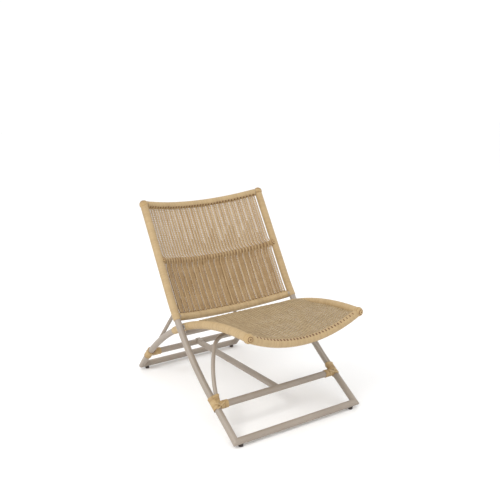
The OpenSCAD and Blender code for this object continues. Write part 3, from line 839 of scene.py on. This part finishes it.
def shaded_back_stitches():
    """Short stitches where the strands turn over the top and bottom rails, painted near black as
    shade in the holes round them.
    """
    places = (np.arange(STITCHES) - (STITCHES - 1) / 2) * RIB_PITCH / 2
    for name, rail_s, way, first, last in (
        ("top", BACK_RUN, -1, 0.60, 1.05),
        ("bottom", 0.0, 1, 0.85, 1.25),
    ):
        turn = np.linspace(first, last, 7)
        u, wind = np.meshgrid(places, turn, indexing="ij")
        wind = wind + rng.uniform(-0.08, 0.08, (len(places), 1))
        v = rail_s + way * STITCH_R * np.sin(wind)
        n = normals(back_surface, u, v)
        paths = back_surface(u, v) + n * (STITCH_R * np.cos(wind))[..., None]
        # Painted shade: very low tones make the stitches dark like shadowed holes
        tones = rng.uniform(-8.0, -4.0, len(places))
        obj = strand_set("shaded_back_stitches_" + name, paths, n, 0.0052, 0.0020, tones)
        finish_piece(obj, "outer_frame", "weave", BOUND)


def weave_seat():
    """A close twill: each strand passes over two and under two."""
    half = INNER_W - WRAP_R + SEAT_TUCK
    count = int(2 * half / SEAT_WARP_PITCH)
    x = (np.arange(count) - (count - 1) / 2) * SEAT_WARP_PITCH
    rows = np.arange(WEFTS_FROM, SEAT_RUN + WEFTS_TO, SEAT_WEFT_PITCH)

    s = np.linspace(WARPS_FROM, SEAT_RUN + WARPS_TO, 2 * len(rows))
    u, v = np.meshgrid(x, s, indexing="ij")
    n = -normals(seat_surface, u, v)
    column = np.arange(count)[:, None]
    over = -np.cos(2 * math.pi * (column / 4 + (v - rows[0]) / (4 * SEAT_WEFT_PITCH)))
    paths = seat_surface(u, v) + n * (WARP_SWING * over)[..., None]
    tones = rng.uniform(-1, 1, len(x))
    warps = strand_set("seat_warps", paths, n, 0.0058, 0.0014, tones, THIN_SIDES)
    finish_piece(warps, "inner_frame", "weave", SEAT, "seat_panel")

    xs = np.linspace(-half, half, 4 * count)
    u, v = np.meshgrid(xs, rows, indexing="xy")
    n = -normals(seat_surface, u, v)
    row = np.arange(len(rows))[:, None]
    over = np.cos(2 * math.pi * ((u - x[0]) / (4 * SEAT_WARP_PITCH) + row / 4))
    paths = seat_surface(u, v) + n * (WEFT_SWING * over)[..., None]
    tones = rng.uniform(-1, 1, len(rows))
    wefts = strand_set("seat_wefts", paths, n, 0.0033, 0.0019, tones, THIN_SIDES)
    finish_piece(wefts, "inner_frame", "weave", SEAT)


def seat_shade_slots():
    """Short strands over the seat's front rail, painted near black as the shade in the slots
    there.
    """
    places = np.arange(-SLOTS_EACH_SIDE, SLOTS_EACH_SIDE + 1) * SLOT_PITCH
    u, turn = np.meshgrid(places, np.radians(np.linspace(52, 84, 7)), indexing="ij")
    over_rail = np.stack([np.zeros_like(u), -np.cos(turn), np.sin(turn)], -1)
    drop = bow_depth(u, INNER_W, SEAT_BOW)[..., None] * np.array([0, 0, 1.0])
    centre = xyz(u, np.broadcast_to(SEAT_FRONT, u.shape + (2,))) - drop
    # Painted shade: very low tones make these strands dark like shadowed slots
    tones = rng.uniform(-5.0, -3.0, len(places))
    paths = centre + over_rail * SLOT_R
    slots = strand_set("seat_shade_slots", paths, over_rail, 0.0060, 0.0014, tones, THIN_SIDES)
    finish_piece(slots, "inner_frame", "weave", BOUND)


shaded_back_stitches()
weave_back()
weave_seat()
seat_shade_slots()

# ---- Materials of the CAD pieces that stay ----

for name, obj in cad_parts.items():
    if "glides" in name:
        material = PLASTIC
    elif name.startswith("pivot"):
        material = STEEL
    else:
        material = COAT
    obj.data.materials.clear()
    obj.data.materials.append(material)

# ---- Floor, light and camera ----

FLOOR_SIZE = 30
FLOOR_Z = -0.0002
WORLD_STRENGTH = 1.05
LIGHT_TARGET = Vector((0, 0, 0.3))
CAMERA_PLACE = (-1.43135, -2.2395, 1.22977)
CAMERA_AZIMUTH = math.radians(-33.43)
CAMERA_ELEVATION = math.radians(13.75)
CAMERA_ROLL = math.radians(-0.61)
CAMERA_LENS = 51.29
CAMERA_SENSOR = 36.0


def stage_floor():
    """A white floor just under the feet."""
    bpy.ops.mesh.primitive_plane_add(size=FLOOR_SIZE, location=(0, 0, FLOOR_Z))
    floor = bpy.context.object
    floor.name = "floor"
    mat = bpy.data.materials.new("floor_white")
    _, shader = nodes_of(mat)
    shader.inputs["Base Color"].default_value = (0.97, 0.97, 0.968, 1)
    shader.inputs["Roughness"].default_value = 0.9
    floor.data.materials.append(mat)


def area_light(name, place, size, power):
    """A round white light that faces the chair."""
    light = bpy.data.lights.new(name, "AREA")
    light.shape = "DISK"
    light.size = size
    light.energy = power
    obj = bpy.data.objects.new(name, light)
    obj.location = place
    aim = LIGHT_TARGET - Vector(place)
    obj.rotation_euler = aim.to_track_quat("-Z", "Y").to_euler()
    bpy.context.collection.objects.link(obj)


def stage_camera():
    """The main viewpoint, in front of and to the left of the chair."""
    camera = bpy.data.cameras.new("camera")
    camera.lens = CAMERA_LENS
    camera.sensor_width = CAMERA_SENSOR
    obj = bpy.data.objects.new("camera", camera)
    back = Vector((
        math.sin(CAMERA_AZIMUTH) * math.cos(CAMERA_ELEVATION),
        -math.cos(CAMERA_AZIMUTH) * math.cos(CAMERA_ELEVATION),
        math.sin(CAMERA_ELEVATION),
    ))
    obj.location = CAMERA_PLACE
    level = back.to_track_quat("Z", "Y").to_matrix()
    obj.rotation_euler = (level @ Matrix.Rotation(CAMERA_ROLL, 3, "Z")).to_euler()
    bpy.context.collection.objects.link(obj)
    bpy.context.scene.camera = obj


def white_world():
    """An even white surround."""
    world = bpy.context.scene.world or bpy.data.worlds.new("world")
    bpy.context.scene.world = world
    world.use_nodes = True
    background = world.node_tree.nodes["Background"]
    background.inputs["Color"].default_value = (1, 1, 1, 1)
    background.inputs["Strength"].default_value = WORLD_STRENGTH


stage_floor()
white_world()
area_light("key", (-3.2, -1.2, 3.4), 2.0, 80)
area_light("fill", (2.8, -1.6, 2.2), 3.0, 12)
bpy.context.scene.view_settings.view_transform = "Standard"
stage_camera()
